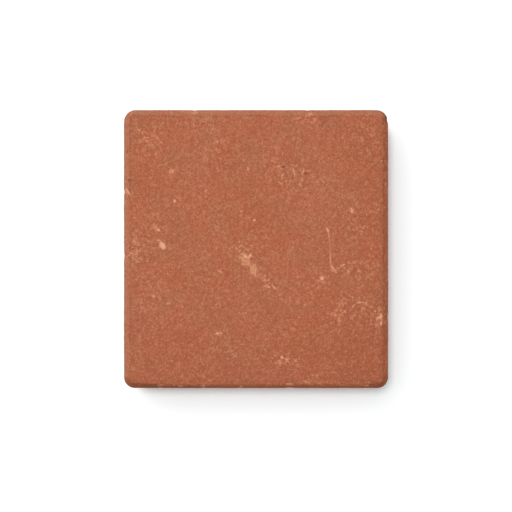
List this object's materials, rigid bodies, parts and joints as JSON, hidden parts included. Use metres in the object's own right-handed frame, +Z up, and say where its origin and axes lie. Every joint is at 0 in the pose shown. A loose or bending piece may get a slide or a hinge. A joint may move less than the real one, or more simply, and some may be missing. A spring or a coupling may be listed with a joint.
{
  "type": "clay paver",
  "caption": "Nearly square fired clay paver, one solid slab with rounded upright corners and a worn bevelled arris round its wearing face, laid flat in paths, patios and floors.",
  "frame": {"origin": "centre of the bed face, the flat underside that the paver lies on", "axes": "+Z up, from the bed face to the wearing face; +Y along the longer side; +X along the shorter side"},
  "size_m": [0.19, 0.2, 0.05],
  "materials": {
    "fired_clay": "matte"
  },
  "bodies": {
    "root": {"clay_paver": "fired_clay"}
  },
  "joints": []
}
